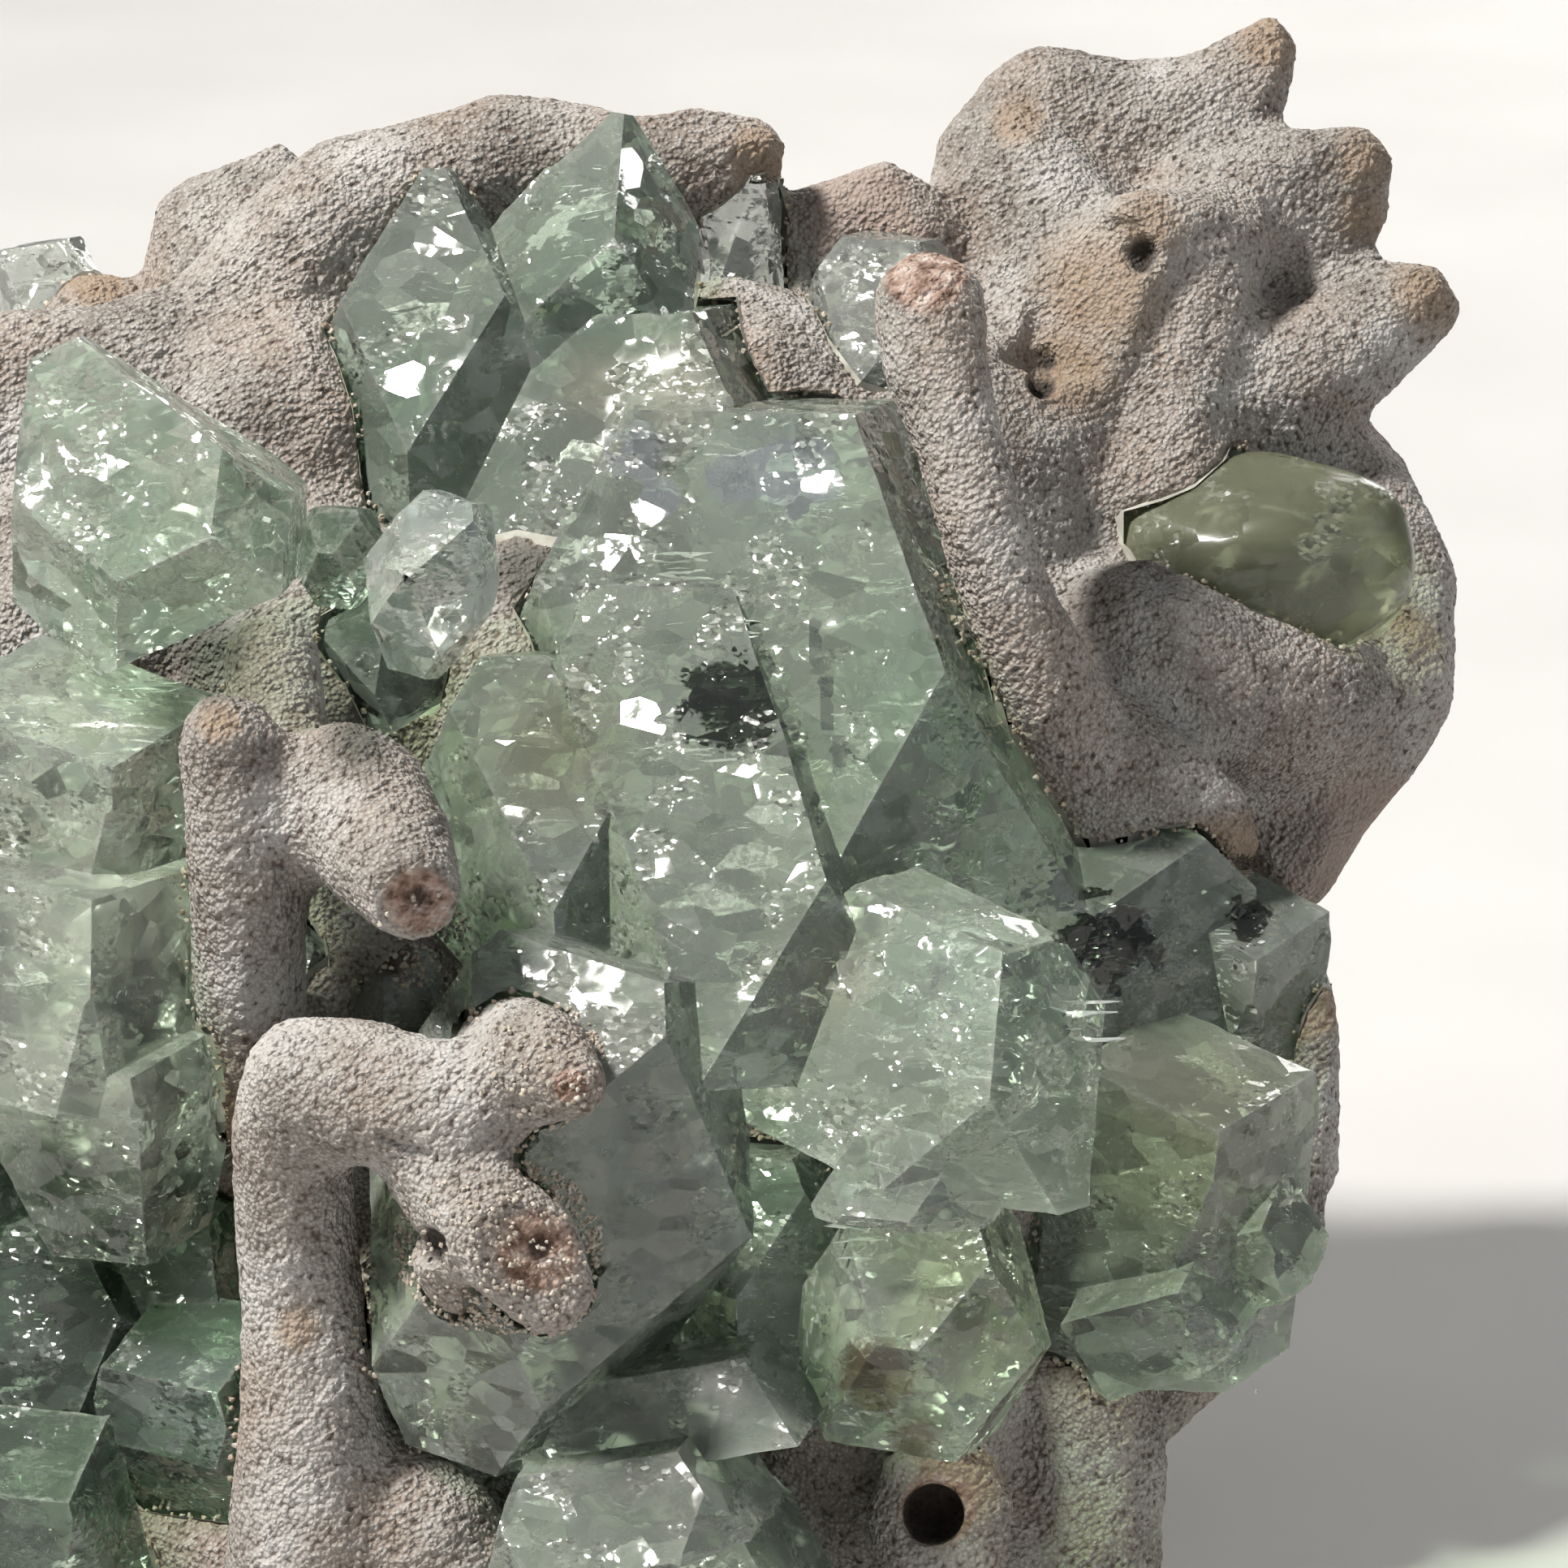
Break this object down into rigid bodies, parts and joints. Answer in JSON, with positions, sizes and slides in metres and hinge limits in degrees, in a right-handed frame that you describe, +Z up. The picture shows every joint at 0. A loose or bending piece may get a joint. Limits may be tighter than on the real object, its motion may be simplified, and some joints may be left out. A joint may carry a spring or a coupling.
{
  "type": "mineral crystal cluster",
  "caption": "Cluster of steep, blocky grey-green crystals grown on a knobbly, coral-like matrix, cut flat underneath to stand on a shelf.",
  "frame": {"origin": "on the flat cut base, below the middle of the crystals seen in the picture", "axes": "+Z up, crystal faces look towards -Y, +X to the right as seen from the front, along the longest extent"},
  "size_m": [0.118, 0.0893, 0.0891],
  "materials": {
    "matrix_stone": "dry sugary mineral crust, cream to grey, tan at the tips",
    "clear_green": "glassy grey-green crystal, milky and fractured inside",
    "dark_green": "glassy dark green crystal in the shadowed hollow",
    "clear_grey": "glassy near-colourless crystal",
    "olive_green": "glassy olive-green crystal"
  },
  "bodies": {
    "root": {"matrix": "matrix_stone", "centre_crystals": "clear_green", "left_upper_crystal": "clear_green", "left_stepped_crystal": "clear_green", "left_lower_crystals": "dark_green", "small_blue_crystal": "clear_grey", "shadow_small_crystal": "dark_green", "behind_fork_crystal": "clear_grey", "back_crystal": "clear_grey", "right_back_crystal": "clear_grey", "far_left_crystal": "clear_grey", "set_crystal": "olive_green", "under_fork_crystal": "clear_grey", "fork_clear_crystal": "clear_grey"}
  },
  "joints": []
}
